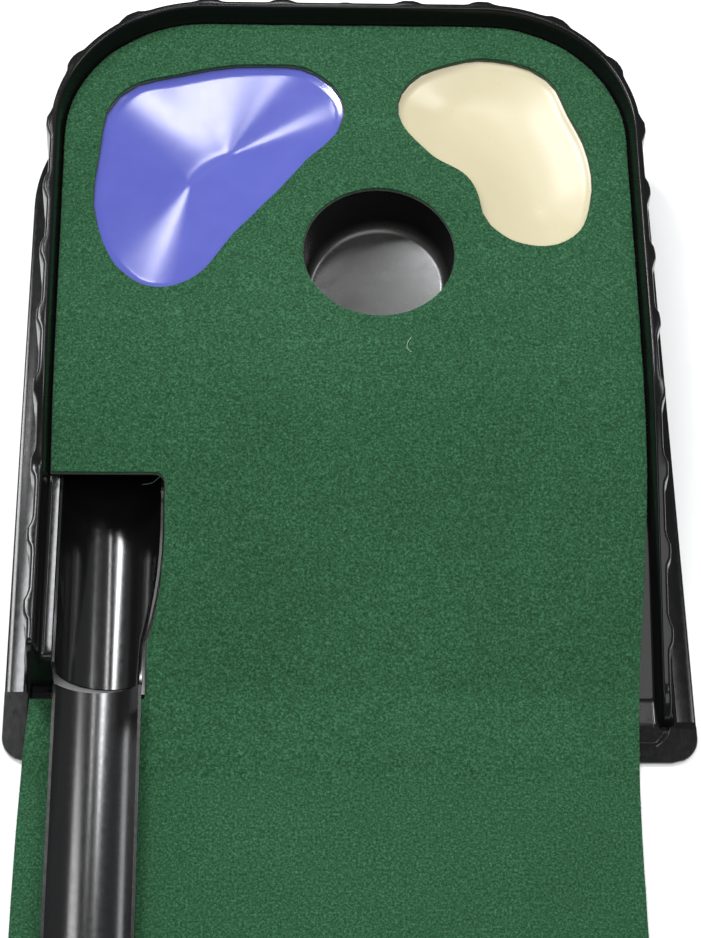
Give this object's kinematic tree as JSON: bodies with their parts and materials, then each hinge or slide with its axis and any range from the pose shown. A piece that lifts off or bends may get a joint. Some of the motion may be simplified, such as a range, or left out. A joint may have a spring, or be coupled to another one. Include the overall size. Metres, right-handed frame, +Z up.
{
  "type": "practice putting mat",
  "caption": "Felt putting mat running up a black ramp tray to a cup, with blue and cream hazard dishes and a gravity ball return track.",
  "frame": {"origin": "on the floor, under the middle of the whole object's box", "axes": "+Y along the mat from the player to the cup, +Z up, +X to the player's right"},
  "size_m": [0.457, 2.767, 0.1046],
  "materials": {
    "black_plastic": "satin black vacuum-formed sheet",
    "grey_plastic": "satin very dark grey moulding",
    "blue_plastic": "high gloss violet blue sheet",
    "cream_plastic": "satin cream sheet",
    "rivet_metal": "plain",
    "tape": "double-sided cloth tape",
    "backing": "pale latex-coated felt",
    "pile": "short dense dark green needle-punched pile"
  },
  "bodies": {
    "tray": {"ramp_tray": "black_plastic", "cup_liner": "grey_plastic", "return_channel": "black_plastic", "water_insert": "blue_plastic", "sand_insert": "cream_plastic", "cup_rivet_1": "rivet_metal", "cup_rivet_2": "rivet_metal", "cup_rivet_3": "rivet_metal", "channel_rivet_1": "rivet_metal", "channel_rivet_2": "rivet_metal", "channel_rivet_3": "rivet_metal", "channel_rivet_4": "rivet_metal", "mat_tape_front": "tape", "mat_tape_right": "tape", "mat_tape_left": "tape", "mat_tape_back": "tape"},
    "mat": {"mat_backing_green": "backing", "mat_backing_run": "backing", "mat_pile": "pile", "track_coupler_1": "grey_plastic", "track_coupler_2": "grey_plastic", "track_coupler_3": "grey_plastic"},
    "track_1": {"track_section_1": "black_plastic"},
    "track_2": {"track_section_2": "black_plastic"},
    "track_3": {"track_section_3": "black_plastic"},
    "track_4": {"track_section_4": "black_plastic", "track_end_stop": "grey_plastic"}
  },
  "joints": [
    {"name": "mat_lift", "type": "slide", "parent": "tray", "child": "mat", "axis": [0, 0, 1], "range_m": [0, 0.1]},
    {"name": "track_lift_1", "type": "slide", "parent": "mat", "child": "track_1", "axis": [0, 0, 1], "range_m": [0, 0.05]},
    {"name": "track_lift_2", "type": "slide", "parent": "mat", "child": "track_2", "axis": [0, 0, 1], "range_m": [0, 0.05]},
    {"name": "track_lift_3", "type": "slide", "parent": "mat", "child": "track_3", "axis": [0, 0, 1], "range_m": [0, 0.05]},
    {"name": "track_lift_4", "type": "slide", "parent": "mat", "child": "track_4", "axis": [0, 0, 1], "range_m": [0, 0.05]}
  ]
}
